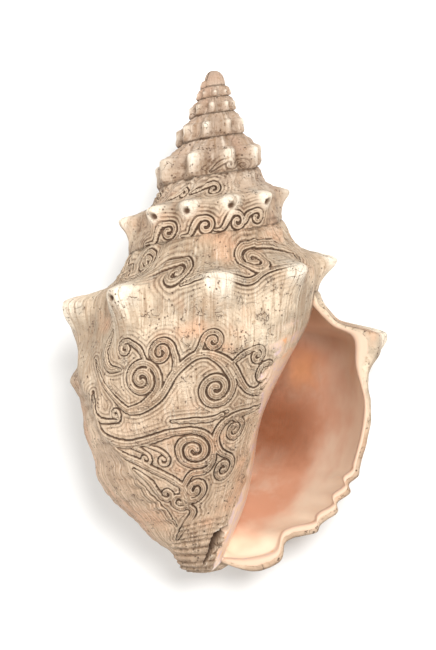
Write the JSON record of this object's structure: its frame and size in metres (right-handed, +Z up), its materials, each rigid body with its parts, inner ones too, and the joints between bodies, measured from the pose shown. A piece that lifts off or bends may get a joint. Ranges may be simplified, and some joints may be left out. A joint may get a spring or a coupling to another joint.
{
  "type": "conch shell",
  "caption": "Large knobbed spiral sea shell with a stepped spire, a flared lip and an open glossy mouth, lying on its back.",
  "frame": {"origin": "on the ground under the middle of the shell's box as it lies", "axes": "+Y along the shell towards the apex, +Z up, out of the mouth, +X towards the flared lip"},
  "size_m": [0.124, 0.1984, 0.1148],
  "materials": {
    "shell": "matte cream outside with brown-stained carving, glossy pink inside"
  },
  "bodies": {
    "root": {"conch_shell": "shell"}
  },
  "joints": []
}
